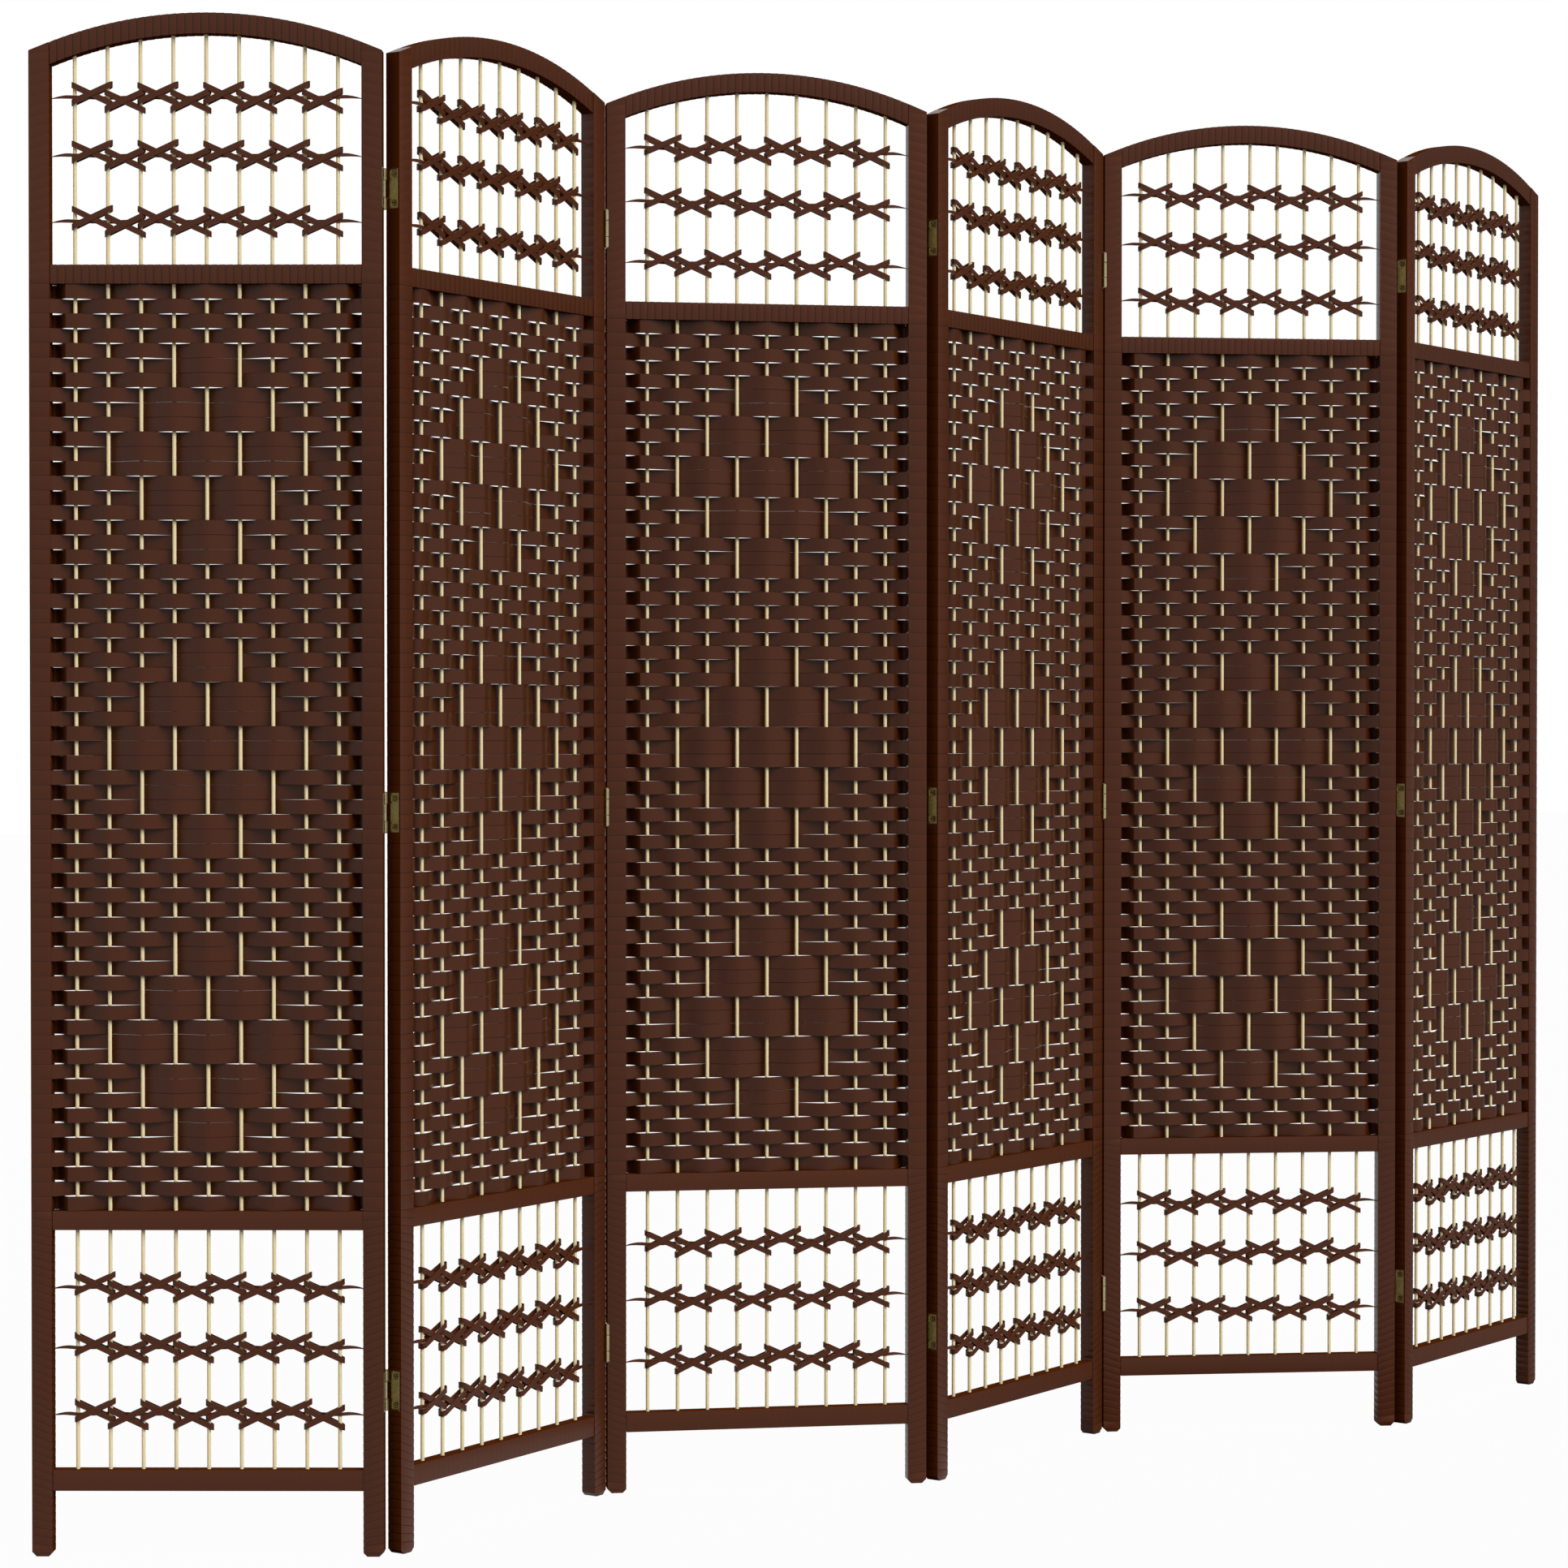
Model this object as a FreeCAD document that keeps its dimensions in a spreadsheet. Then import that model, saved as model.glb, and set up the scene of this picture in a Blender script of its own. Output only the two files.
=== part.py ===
"""Folding screen of six arched panels, woven from flat fibre strips on thin rods. Sizes in millimetres.

A panel has its own frame: X along its width, Y from its front face to its back, Z up from the floor.
The panels stand in a zigzag. Butt hinges join their edges, with the pins behind folds 1, 3 and 5 and in
front of folds 2 and 4, so the screen folds flat like an accordion.
"""
import FreeCAD, Part
import math
import os
import Sketcher

Vector = FreeCAD.Vector
UP = Vector(0, 0, 1)

PANEL_COUNT = 6
ROD_COUNT = 9
WEAVE_ROWS = 63
ROUND_SIDES = 6
FLAT_RATIO = math.cos(math.pi / ROUND_SIDES)

SIZES = {
    # Frame
    "panel_width": 400.0,
    "stile_width": 22.0,
    "stile_depth": 18.5,
    "foot_chamfer": 4.0,
    "rail_depth": 17.5,
    "rail_height": 21.6,
    "bottom_rail_height": 23.8,
    "arch_width": 23.5,
    "arch_radius": 490.0,
    # Heights from the floor up, one stacked on the next
    "leg_height": 75.0,
    "lower_bay_height": 274.7,
    "weave_height": 1057.3,
    "upper_bay_height": 262.5,
    # Rods
    "rod_thickness": 4.0,
    "rod_margin": 28.0,
    "rod_seat": 12.0,
    # Woven strips
    "strip_thickness": 0.9,
    "strip_gap": 0.6,
    "strip_bow": 7.0,
    # Crossed ribbons
    "ribbon_width": 6.5,
    "ribbon_thickness": 0.8,
    "ribbon_overhang": 4.0,
    "braid_rise": 20.0,
    "lower_braid_base": 63.0,
    "lower_braid_first_step": 76.2,
    "lower_braid_second_step": 69.0,
    "upper_braid_base": 49.9,
    "upper_braid_first_step": 75.0,
    "upper_braid_second_step": 66.0,
    # Butt hinges
    "hinge_height": 46.0,
    "leaf_thickness": 1.2,
    "leaf_clearance": 0.2,
    "leaf_margin": 1.7,
    "outer_knuckle": 12.8,
    "knuckle_cutback": 4.2,
    "knuckle_gap": 0.3,
    "barrel_radius": 2.65,
    "barrel_clearance": 0.35,
    "pin_radius": 1.5,
    "pin_clearance": 0.05,
    "end_hinge_rise": 88.5,
    "middle_hinge_height": 850.0,
}

# Standing zigzag in degrees: the first panel's heading, then how far each fold is closed
ANGLES = {
    "first_heading_degrees": -30.25,
    "fold_1_degrees": 57.5,
    "fold_2_degrees": 48.0,
    "fold_3_degrees": 45.0,
    "fold_4_degrees": 47.8,
    "fold_5_degrees": 46.3,
}

doc = FreeCAD.newDocument("folding_screen")
sheet = doc.addObject("Spreadsheet::Sheet", "sizes")
for row, (name, value) in enumerate((SIZES | ANGLES).items(), start=1):
    sheet.set(f"A{row}", name)
    sheet.set(f"B{row}", str(value))
    sheet.setAlias(f"B{row}", name)
doc.recompute()


def size(name):
    return float(getattr(sheet, name))


def bind(piece, **expressions):
    """Tie a piece's properties to the sheet: x, y and z are its place, any other word is its own property."""
    for word, expression in expressions.items():
        path = f"Placement.Base.{word}" if word in "xyz" else word
        piece.setExpression(path, expression)
    return piece


# Levels and planes that several pieces share, as expressions on the sheet
INNER_WIDTH = "(sizes.panel_width - 2 * sizes.stile_width)"
RAIL_FRONT = "((sizes.stile_depth - sizes.rail_depth) / 2)"
MID_DEPTH = "(sizes.stile_depth / 2)"
ROD_FRONT = f"({MID_DEPTH} - sizes.rod_thickness / 2)"
ROD_BACK = f"({MID_DEPTH} + sizes.rod_thickness / 2)"
BOTTOM_RAIL_TOP = "(sizes.leg_height + sizes.bottom_rail_height)"
LOWER_RAIL_BASE = f"({BOTTOM_RAIL_TOP} + sizes.lower_bay_height)"
WEAVE_BASE = f"({LOWER_RAIL_BASE} + sizes.rail_height)"
UPPER_RAIL_BASE = f"({WEAVE_BASE} + sizes.weave_height)"
UPPER_RAIL_TOP = f"({UPPER_RAIL_BASE} + sizes.rail_height)"
ARCH_INNER_RADIUS = "(sizes.arch_radius - sizes.arch_width)"
ARCH_CENTRE = f"({UPPER_RAIL_TOP} + sizes.upper_bay_height - {ARCH_INNER_RADIUS})"
ROD_PITCH = f"(({INNER_WIDTH} - 2 * sizes.rod_margin) / {ROD_COUNT - 1})"
EDGE_HALF_GAP = "(sizes.leaf_thickness + sizes.leaf_clearance / 2)"
PIN_OFFSET = "(sizes.barrel_radius + sizes.barrel_clearance)"


def level(expression):
    """The present value of an expression on the sheet."""
    return float(sheet.evalExpression(expression.replace("sizes.", "")))


# Padded profiles


def padded_profile(name, draw, depth, front):
    """A profile drawn in the panel's plane and padded from its front towards the back of the panel."""
    body = doc.addObject("PartDesign::Body", name)
    plane = next(feature for feature in body.Origin.OriginFeatures if feature.Role == "XZ_Plane")
    sketch = body.newObject("Sketcher::SketchObject", f"{name}_profile")
    sketch.AttachmentSupport = [(plane, "")]
    sketch.MapMode = "FlatFace"
    draw(sketch)
    doc.recompute()
    pad = body.newObject("PartDesign::Pad", f"{name}_pad")
    pad.Profile = sketch
    pad.Reversed = True
    pad.setExpression("Length", depth)
    bind(body, y=front)
    doc.recompute()
    if body.Shape.BoundBox.YMin < level(front) - 0.001:
        raise RuntimeError(f"{name} is padded the wrong way")
    return body


def constrain(sketch, kind, *targets, expression=None):
    """Add one constraint, tied to the sheet where it carries a size."""
    index = sketch.addConstraint(Sketcher.Constraint(kind, *targets))
    if expression:
        sketch.setExpression(f"Constraints[{index}]", expression)


def join_ends(sketch, ends):
    """Make each pair of neighbouring ends (geometry, point) one corner."""
    for (first, first_end), (second, second_end) in ends:
        constrain(sketch, "Coincident", first, first_end, second, second_end)


def arch_arc(radius, left, right):
    """An arc over the panel's middle, between two distances from the panel's left edge."""
    middle = size("panel_width") / 2
    circle = Part.Circle(Vector(middle, level(ARCH_CENTRE), 0), UP, radius)
    start = math.acos((right - middle) / radius)
    finish = math.acos((left - middle) / radius)
    return Part.ArcOfCircle(circle, start, finish)


def centre_arch(sketch, arc, radius, radius_expression):
    constrain(sketch, "DistanceX", -1, 1, arc, 3, size("panel_width") / 2, expression="sizes.panel_width / 2")
    constrain(sketch, "DistanceY", -1, 1, arc, 3, level(ARCH_CENTRE), expression=ARCH_CENTRE)
    constrain(sketch, "Radius", arc, radius, expression=radius_expression)


def draw_stile(sketch):
    """Left stile: chamfered foot, straight sides, top cut to the arch's outer curve."""
    width = size("stile_width")
    chamfer = size("foot_chamfer")
    top = arch_arc(size("arch_radius"), 0.0, width)
    corners = [
        Vector(chamfer, 0, 0),
        Vector(width - chamfer, 0, 0),
        Vector(width, chamfer, 0),
        top.StartPoint,
        top.EndPoint,
        Vector(0, chamfer, 0),
    ]
    foot = sketch.addGeometry(Part.LineSegment(corners[0], corners[1]))
    inner_chamfer = sketch.addGeometry(Part.LineSegment(corners[1], corners[2]))
    inner_side = sketch.addGeometry(Part.LineSegment(corners[2], corners[3]))
    arc = sketch.addGeometry(top)
    outer_side = sketch.addGeometry(Part.LineSegment(corners[4], corners[5]))
    outer_chamfer = sketch.addGeometry(Part.LineSegment(corners[5], corners[0]))
    join_ends(
        sketch,
        [
            ((foot, 2), (inner_chamfer, 1)),
            ((inner_chamfer, 2), (inner_side, 1)),
            ((inner_side, 2), (arc, 1)),
            ((arc, 2), (outer_side, 1)),
            ((outer_side, 2), (outer_chamfer, 1)),
            ((outer_chamfer, 2), (foot, 1)),
        ],
    )
    constrain(sketch, "Horizontal", foot)
    constrain(sketch, "Vertical", inner_side)
    constrain(sketch, "Vertical", outer_side)
    constrain(sketch, "PointOnObject", foot, 1, -1)
    constrain(sketch, "PointOnObject", outer_side, 2, -2)
    constrain(sketch, "DistanceX", -1, 1, foot, 1, chamfer, expression="sizes.foot_chamfer")
    constrain(
        sketch, "DistanceX", -1, 1, foot, 2, width - chamfer, expression="sizes.stile_width - sizes.foot_chamfer"
    )
    constrain(sketch, "DistanceX", -1, 1, inner_side, 1, width, expression="sizes.stile_width")
    constrain(sketch, "DistanceY", -1, 1, inner_side, 1, chamfer, expression="sizes.foot_chamfer")
    constrain(sketch, "DistanceY", -1, 1, outer_side, 2, chamfer, expression="sizes.foot_chamfer")
    centre_arch(sketch, arc, size("arch_radius"), "sizes.arch_radius")


def draw_arch(sketch):
    """Top rail: a band between two arcs about one centre, square to the stiles at its ends."""
    left = size("stile_width")
    right = size("panel_width") - left
    outer_curve = arch_arc(size("arch_radius"), left, right)
    inner_curve = arch_arc(level(ARCH_INNER_RADIUS), left, right)
    outer = sketch.addGeometry(outer_curve)
    inner = sketch.addGeometry(inner_curve)
    right_end = sketch.addGeometry(Part.LineSegment(inner_curve.StartPoint, outer_curve.StartPoint))
    left_end = sketch.addGeometry(Part.LineSegment(outer_curve.EndPoint, inner_curve.EndPoint))
    join_ends(
        sketch,
        [
            ((right_end, 2), (outer, 1)),
            ((outer, 2), (left_end, 1)),
            ((left_end, 2), (inner, 2)),
            ((inner, 1), (right_end, 1)),
            ((inner, 3), (outer, 3)),
        ],
    )
    constrain(sketch, "Vertical", right_end)
    constrain(sketch, "Vertical", left_end)
    constrain(sketch, "DistanceX", -1, 1, left_end, 1, left, expression="sizes.stile_width")
    constrain(
        sketch, "DistanceX", -1, 1, right_end, 1, right, expression="sizes.panel_width - sizes.stile_width"
    )
    centre_arch(sketch, outer, size("arch_radius"), "sizes.arch_radius")
    constrain(sketch, "Radius", inner, level(ARCH_INNER_RADIUS), expression=ARCH_INNER_RADIUS)


# Pieces of one panel, made once in the panel's own frame


def make_left_stile():
    return padded_profile("stile", draw_stile, "sizes.stile_depth", "0")


def make_right_stile(left_stile):
    mirrored = doc.addObject("Part::Mirroring", "mirrored_stile")
    mirrored.Source = left_stile
    mirrored.Normal = Vector(1, 0, 0)
    return bind(mirrored, **{"Base.x": "sizes.panel_width / 2"})


def make_top_rail():
    return padded_profile("arch", draw_arch, "sizes.rail_depth", RAIL_FRONT)


def make_cross_rails():
    rails = []
    for name, base, height in (
        ("bottom_rail", "sizes.leg_height", "sizes.bottom_rail_height"),
        ("lower_rail", LOWER_RAIL_BASE, "sizes.rail_height"),
        ("upper_rail", UPPER_RAIL_BASE, "sizes.rail_height"),
    ):
        rail = doc.addObject("Part::Box", name)
        bind(rail, Length=INNER_WIDTH, Width="sizes.rail_depth", Height=height)
        bind(rail, x="sizes.stile_width", y=RAIL_FRONT, z=base)
        rails.append(rail)
    return rails


def rod_place(index):
    """Distance of a rod's middle from the panel's left edge."""
    return f"(sizes.stile_width + sizes.rod_margin + {index} * {ROD_PITCH})"


def faceted_round(name, corner_radius, height):
    """A thin round bar as an upright six-sided prism, which has a flat to the front and one to the back."""
    bar = doc.addObject("Part::Prism", name)
    bar.Polygon = ROUND_SIDES
    return bind(bar, Circumradius=corner_radius, Height=height)


def make_rods():
    """Rods seated in the bottom rail, driven through the other rails and seated in the arch."""
    base = f"({BOTTOM_RAIL_TOP} - sizes.rod_seat)"
    rods = []
    for index in range(ROD_COUNT):
        place = rod_place(index)
        rise = f"sqrt({ARCH_INNER_RADIUS}^2 - ({place} - sizes.panel_width / 2)^2)"
        height = f"{ARCH_CENTRE} + {rise} + sizes.rod_seat - {base}"
        rod = faceted_round(f"rod_{index + 1}", f"sizes.rod_thickness / 2 / {FLAT_RATIO}", height)
        rods.append(bind(rod, x=place, y=MID_DEPTH, z=base))
    return rods


def make_weave():
    """Flat strips from stile to stile, stacked from rail to rail, bowed in turn before and behind the rods."""
    pitch = f"(sizes.weave_height / {WEAVE_ROWS})"
    front_plane = f"{MID_DEPTH} - sizes.strip_bow - sizes.strip_thickness / 2"
    back_plane = f"{MID_DEPTH} + sizes.strip_bow - sizes.strip_thickness / 2"
    strips = []
    for row in range(WEAVE_ROWS):
        strip = doc.addObject("Part::Box", f"strip_{row + 1}")
        bind(strip, Length=INNER_WIDTH, Width="sizes.strip_thickness", Height=f"{pitch} - sizes.strip_gap")
        base = f"{WEAVE_BASE} + {row} * {pitch} + sizes.strip_gap / 2"
        bind(strip, x="sizes.stile_width", y=back_plane if row % 2 else front_plane, z=base)
        strips.append(strip)
    return strips


def zigzag_ribbon(starts_high):
    """A flat ribbon that turns at each rod, from a little outside the first to a little outside the last."""
    pitch = level(ROD_PITCH)
    rise = size("braid_rise")
    slope = math.atan2(rise, pitch)
    half_width = size("ribbon_width") / 2 / math.cos(slope)
    turns = []
    for index in range(ROD_COUNT):
        high = (index % 2 == 0) == starts_high
        turns.append(Vector(level(rod_place(index)), 0, rise / 2 if high else -rise / 2))
    turns[0].x -= size("ribbon_overhang")
    turns[-1].x += size("ribbon_overhang")
    upper_edge = [turn + UP * half_width for turn in turns]
    lower_edge = [turn - UP * half_width for turn in reversed(turns)]
    outline = Part.makePolygon(upper_edge + lower_edge + upper_edge[:1])
    return Part.Face(outline).extrude(Vector(0, size("ribbon_thickness"), 0))


def make_braids():
    """Rows of two ribbons, one before and one behind the rods, that cross in every gap between rods."""
    heights = []
    for bay, rail_top in (("lower", BOTTOM_RAIL_TOP), ("upper", UPPER_RAIL_TOP)):
        first = level(rail_top) + size(f"{bay}_braid_base")
        second = first + size(f"{bay}_braid_first_step")
        heights += [first, second, second + size(f"{bay}_braid_second_step")]
    layers = (
        ("front", True, level(ROD_FRONT) - size("ribbon_thickness")),
        ("back", False, level(ROD_BACK)),
    )
    ribbons = []
    for row, height in enumerate(heights, start=1):
        for side, starts_high, depth in layers:
            ribbon = doc.addObject("Part::Feature", f"{side}_ribbon_{row}")
            ribbon.Shape = zigzag_ribbon(starts_high)
            ribbon.Placement = FreeCAD.Placement(Vector(0, depth, height), FreeCAD.Rotation())
            ribbons.append(ribbon)
    return ribbons


# Pieces of one fold, made once about the pin's axis, with the panels on the -Y side of it

HINGE_HEIGHTS = {
    "low": f"({BOTTOM_RAIL_TOP} + sizes.end_hinge_rise)",
    "middle": "sizes.middle_hinge_height",
    "high": f"({UPPER_RAIL_TOP} + sizes.end_hinge_rise)",
}
KNUCKLE_STEP = "(sizes.hinge_height / 2 - sizes.outer_knuckle)"
MIDDLE_KNUCKLE = f"(2 * {KNUCKLE_STEP} - 2 * sizes.knuckle_gap)"


def hinge_plate(name, side, base, height, reach, tip):
    """A flat of the leaf's thickness on one panel's edge, from a reach below the pin's axis up to a tip."""
    plate = doc.addObject("Part::Box", name)
    left = f"-{EDGE_HALF_GAP}" if side == "left" else f"{EDGE_HALF_GAP} - sizes.leaf_thickness"
    bind(plate, Length="sizes.leaf_thickness", Width=f"{reach} - {tip}", Height=height)
    return bind(plate, x=left, y=f"-({reach})", z=base)


def fuse(name, pieces):
    joined = doc.addObject("Part::MultiFuse", name)
    joined.Shapes = pieces
    joined.Refine = True
    return joined


def make_leaf(label, side, centre, knuckles):
    """One leaf: its plate, and for each knuckle (base, length, bored or not) a tab and a barrel."""
    plate_base = f"{centre} - sizes.hinge_height / 2"
    reach = f"({PIN_OFFSET} + sizes.stile_depth - sizes.leaf_margin)"
    plate_end = f"({PIN_OFFSET} + sizes.knuckle_cutback)"
    pieces = [hinge_plate(f"{label}_plate", side, plate_base, "sizes.hinge_height", reach, plate_end)]
    wall_middle = "((sizes.barrel_radius + sizes.pin_radius) / 2)"
    for number, (offset, length, bored) in enumerate(knuckles, start=1):
        base = f"{centre} + {offset}"
        name = f"{label}_knuckle_{number}"
        tab = hinge_plate(f"{name}_tab", side, base, length, plate_end, wall_middle)
        barrel = bind(faceted_round(f"{name}_barrel", "sizes.barrel_radius", length), z=base)
        if bored:
            bore_radius = f"(sizes.pin_radius + sizes.pin_clearance) / {FLAT_RATIO}"
            bore = bind(faceted_round(f"{name}_bore", bore_radius, length), z=base)
            ring = doc.addObject("Part::Cut", f"{name}_ring")
            ring.Base = barrel
            ring.Tool = bore
            barrel = ring
        pieces += [tab, barrel]
    return fuse(label, pieces)


def make_hinges():
    """Three hinges up the fold: leaves with two outer knuckles, leaves with a bored middle one, and pins."""
    outer_leaves = []
    inner_leaves = []
    pins = []
    for word, centre in HINGE_HEIGHTS.items():
        outer_knuckles = (
            ("(-sizes.hinge_height / 2)", "sizes.outer_knuckle", False),
            (KNUCKLE_STEP, "sizes.outer_knuckle", False),
        )
        inner_knuckles = ((f"(-{MIDDLE_KNUCKLE} / 2)", MIDDLE_KNUCKLE, True),)
        outer_leaves.append(make_leaf(f"{word}_outer_leaf", "right", centre, outer_knuckles))
        inner_leaves.append(make_leaf(f"{word}_inner_leaf", "left", centre, inner_knuckles))
        pin = faceted_round(f"{word}_pin", "sizes.pin_radius", "sizes.hinge_height")
        pins.append(bind(pin, z=f"{centre} - sizes.hinge_height / 2"))
    return outer_leaves, inner_leaves, pins


# Standing zigzag


def pin_is_behind(fold):
    return fold % 2 == 1


def panel_placements():
    """Each panel's place, from the first panel's front left foot along the chain of folds."""
    heading = size("first_heading_degrees")
    turn = FreeCAD.Rotation(UP, heading)
    places = [FreeCAD.Placement(Vector(), turn)]
    for fold in range(1, PANEL_COUNT):
        behind = pin_is_behind(fold)
        heading += size(f"fold_{fold}_degrees") if behind else -size(f"fold_{fold}_degrees")
        turn = FreeCAD.Rotation(UP, heading)
        pin = places[-1].multVec(pin_in_panel(fold, on_right_edge=True))
        corner = pin - turn.multVec(pin_in_panel(fold, on_right_edge=False))
        places.append(FreeCAD.Placement(corner, turn))
    return places


def pin_in_panel(fold, on_right_edge):
    """The pin's axis in the frame of the panel on its left (its right edge) or on its right (its left edge)."""
    gap = level(EDGE_HALF_GAP)
    across = size("panel_width") + gap if on_right_edge else -gap
    offset = level(PIN_OFFSET)
    depth = size("stile_depth") + offset if pin_is_behind(fold) else -offset
    return Vector(across, depth, 0)


def hinge_placement(places, fold, on_right_edge):
    """Where a leaf or pin made about the axis goes: half a turn round where the pin is in front."""
    panel = places[fold - 1] if on_right_edge else places[fold]
    half_turn = FreeCAD.Rotation(UP, 0 if pin_is_behind(fold) else 180)
    return panel.multiply(FreeCAD.Placement(pin_in_panel(fold, on_right_edge), half_turn))


def add_node(label, pieces, placement):
    """One named sub-part: separate solids that keep their places in the panel's or the hinge's frame."""
    node = doc.addObject("Part::Compound", label)
    node.Label = label
    node.Links = pieces
    node.Placement = placement
    return node


def assemble():
    left_stile = make_left_stile()
    panel_pieces = {
        "left_stile": [left_stile],
        "right_stile": [make_right_stile(left_stile)],
        "top_rail": [make_top_rail()],
        "cross_rails": make_cross_rails(),
        "rods": make_rods(),
        "weave": make_weave(),
        "braids": make_braids(),
    }
    outer_leaves, inner_leaves, pins = make_hinges()
    places = panel_placements()
    nodes = []
    for number, place in enumerate(places, start=1):
        for word, pieces in panel_pieces.items():
            nodes.append(add_node(f"panel_{number}_{word}", pieces, place))
    for fold in range(1, PANEL_COUNT):
        behind = pin_is_behind(fold)
        left_place = hinge_placement(places, fold, on_right_edge=True)
        right_place = hinge_placement(places, fold, on_right_edge=False)
        left_leaves = inner_leaves if behind else outer_leaves
        right_leaves = outer_leaves if behind else inner_leaves
        nodes.append(add_node(f"fold_{fold}_left_leaves", left_leaves, left_place))
        nodes.append(add_node(f"fold_{fold}_right_leaves", right_leaves, right_place))
        nodes.append(add_node(f"fold_{fold}_pins", pins, right_place if behind else left_place))
    doc.recompute()
    return nodes


def centre_on_floor(nodes):
    """Move the whole screen so that the middle of its footprint is the origin."""
    box = FreeCAD.BoundBox()
    for node in nodes:
        box.add(node.Shape.BoundBox)
    shift = Vector(-box.Center.x, -box.Center.y, 0)
    for node in nodes:
        node.Placement.Base = node.Placement.Base + shift
    doc.recompute()
    return shift


def check(nodes):
    for piece in doc.Objects:
        if "Invalid" in piece.State or "Error" in piece.State:
            raise RuntimeError(f"{piece.Label} failed: {piece.State}")
    for node in nodes:
        if node.Shape.isNull() or not node.Shape.isValid():
            raise RuntimeError(f"{node.Label} has no valid shape")


screen_nodes = assemble()
screen_shift = centre_on_floor(screen_nodes)
check(screen_nodes)
os.makedirs("parts", exist_ok=True)
for node in screen_nodes:
    node.Shape.exportStep(f"parts/{node.Label}.step")
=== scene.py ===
"""Looks of a woven folding screen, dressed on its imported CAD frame. Metres, in the row frame.

A panel has its own frame, as in the CAD: X along its width from the left stile, Y from its front face to its
back, Z up from the floor. Each panel's pieces are built there and set in place by the panel's matrix.
"""
import bmesh
import bpy
import math
import numpy as np
from mathutils import Matrix, Vector


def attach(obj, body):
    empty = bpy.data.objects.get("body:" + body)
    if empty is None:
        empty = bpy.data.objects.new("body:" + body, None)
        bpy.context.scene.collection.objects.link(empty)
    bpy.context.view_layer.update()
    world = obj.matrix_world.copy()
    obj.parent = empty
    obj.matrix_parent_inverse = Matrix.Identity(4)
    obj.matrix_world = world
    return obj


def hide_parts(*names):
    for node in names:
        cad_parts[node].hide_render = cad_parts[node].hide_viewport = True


MM = 0.001
UP = (0.0, 0.0, 1.0)
PANELS = (1, 2, 3, 4, 5, 6)
PANEL_PIECES = ("left_stile", "right_stile", "top_rail", "cross_rails", "rods", "weave", "braids")
FOLDS = (1, 2, 3, 4, 5)
ROD_COUNT = 9
WEAVE_ROWS = 63

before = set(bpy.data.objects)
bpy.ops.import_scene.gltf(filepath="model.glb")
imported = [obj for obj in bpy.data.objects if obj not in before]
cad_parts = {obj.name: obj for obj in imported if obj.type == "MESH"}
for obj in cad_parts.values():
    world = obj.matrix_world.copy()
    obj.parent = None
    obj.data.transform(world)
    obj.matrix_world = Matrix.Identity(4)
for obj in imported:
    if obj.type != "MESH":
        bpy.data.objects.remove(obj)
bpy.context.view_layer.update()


# Places and sizes, read from the frame

# Gaps that part neighbouring rods, braid rows and hinges among the points of their nodes
ROD_PARTING = 8 * MM
BRAID_PARTING = 20 * MM
HINGE_PARTING = 100 * MM


def node_points(node):
    """A node's points, each once, to a thousandth of a millimetre."""
    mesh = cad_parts[node].data
    points = np.empty(len(mesh.vertices) * 3)
    mesh.vertices.foreach_get("co", points)
    return np.unique(points.reshape(-1, 3).round(6), axis=0)


def box_middle(points):
    """Middle of the box round some points."""
    return (points.min(axis=0) + points.max(axis=0)) / 2


def panel_matrix(number):
    """A panel's place: its front left foot corner, with X towards its right stile."""
    left = node_points(f"panel_{number}_left_stile")
    right = node_points(f"panel_{number}_right_stile")
    across = box_middle(right) - box_middle(left)
    turn = Matrix.Rotation(math.atan2(across[1], across[0]), 4, "Z")
    turned = left @ np.array(turn.to_3x3())
    corner = Vector((turned[:, 0].min(), turned[:, 1].min(), 0))
    return Matrix.Translation(turn @ corner) @ turn


PLACES = {number: panel_matrix(number) for number in PANELS}


def in_panel(node, number):
    """A node's points in the frame of a panel."""
    inverse = np.array(PLACES[number].inverted())
    return node_points(node) @ inverse[:3, :3].T + inverse[:3, 3]


def bands(values, gap):
    """Groups of values that lie closer together than a gap, as (lowest, highest) pairs."""
    ordered = np.sort(values)
    groups = np.split(ordered, np.flatnonzero(np.diff(ordered) > gap) + 1)
    return [(group[0], group[-1]) for group in groups]


def band_middles(values, gap):
    """Middle of each such group."""
    return [(low + high) / 2 for low, high in bands(values, gap)]


left_stile_points = in_panel("panel_1_left_stile", 1)
rail_points = in_panel("panel_1_cross_rails", 1)
rod_points = in_panel("panel_1_rods", 1)
braid_points = in_panel("panel_1_braids", 1)
pin_points = in_panel("fold_1_pins", 1)
pin_axis = box_middle(pin_points)

STILE_WIDTH, STILE_DEPTH = left_stile_points.max(axis=0)[:2]
PANEL_WIDTH = in_panel("panel_1_right_stile", 1)[:, 0].max()
MID_WIDTH = PANEL_WIDTH / 2
MID_DEPTH = STILE_DEPTH / 2
RAIL_FRONT, RAIL_BACK = rail_points[:, 1].min(), rail_points[:, 1].max()
BOTTOM_BASE, BOTTOM_TOP, LOWER_BASE, WEAVE_BASE, WEAVE_TOP, UPPER_TOP = np.unique(rail_points[:, 2].round(5))
CROWN = in_panel("panel_1_top_rail", 1)[:, 2].max()
ROD_RADIUS = (rod_points[:, 1].max() - rod_points[:, 1].min()) / 2
ROD_BASE = rod_points[:, 2].min()
ROD_PLACES = band_middles(rod_points[:, 0], ROD_PARTING)
ROD_PITCH = ROD_PLACES[1] - ROD_PLACES[0]
BRAID_LEVELS = band_middles(braid_points[:, 2], BRAID_PARTING)
HINGE_LEVELS = bands(pin_points[:, 2], HINGE_PARTING)
EDGE_HALF_GAP = pin_axis[0] - PANEL_WIDTH
PIN_OFFSET = pin_axis[1] - STILE_DEPTH

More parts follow.
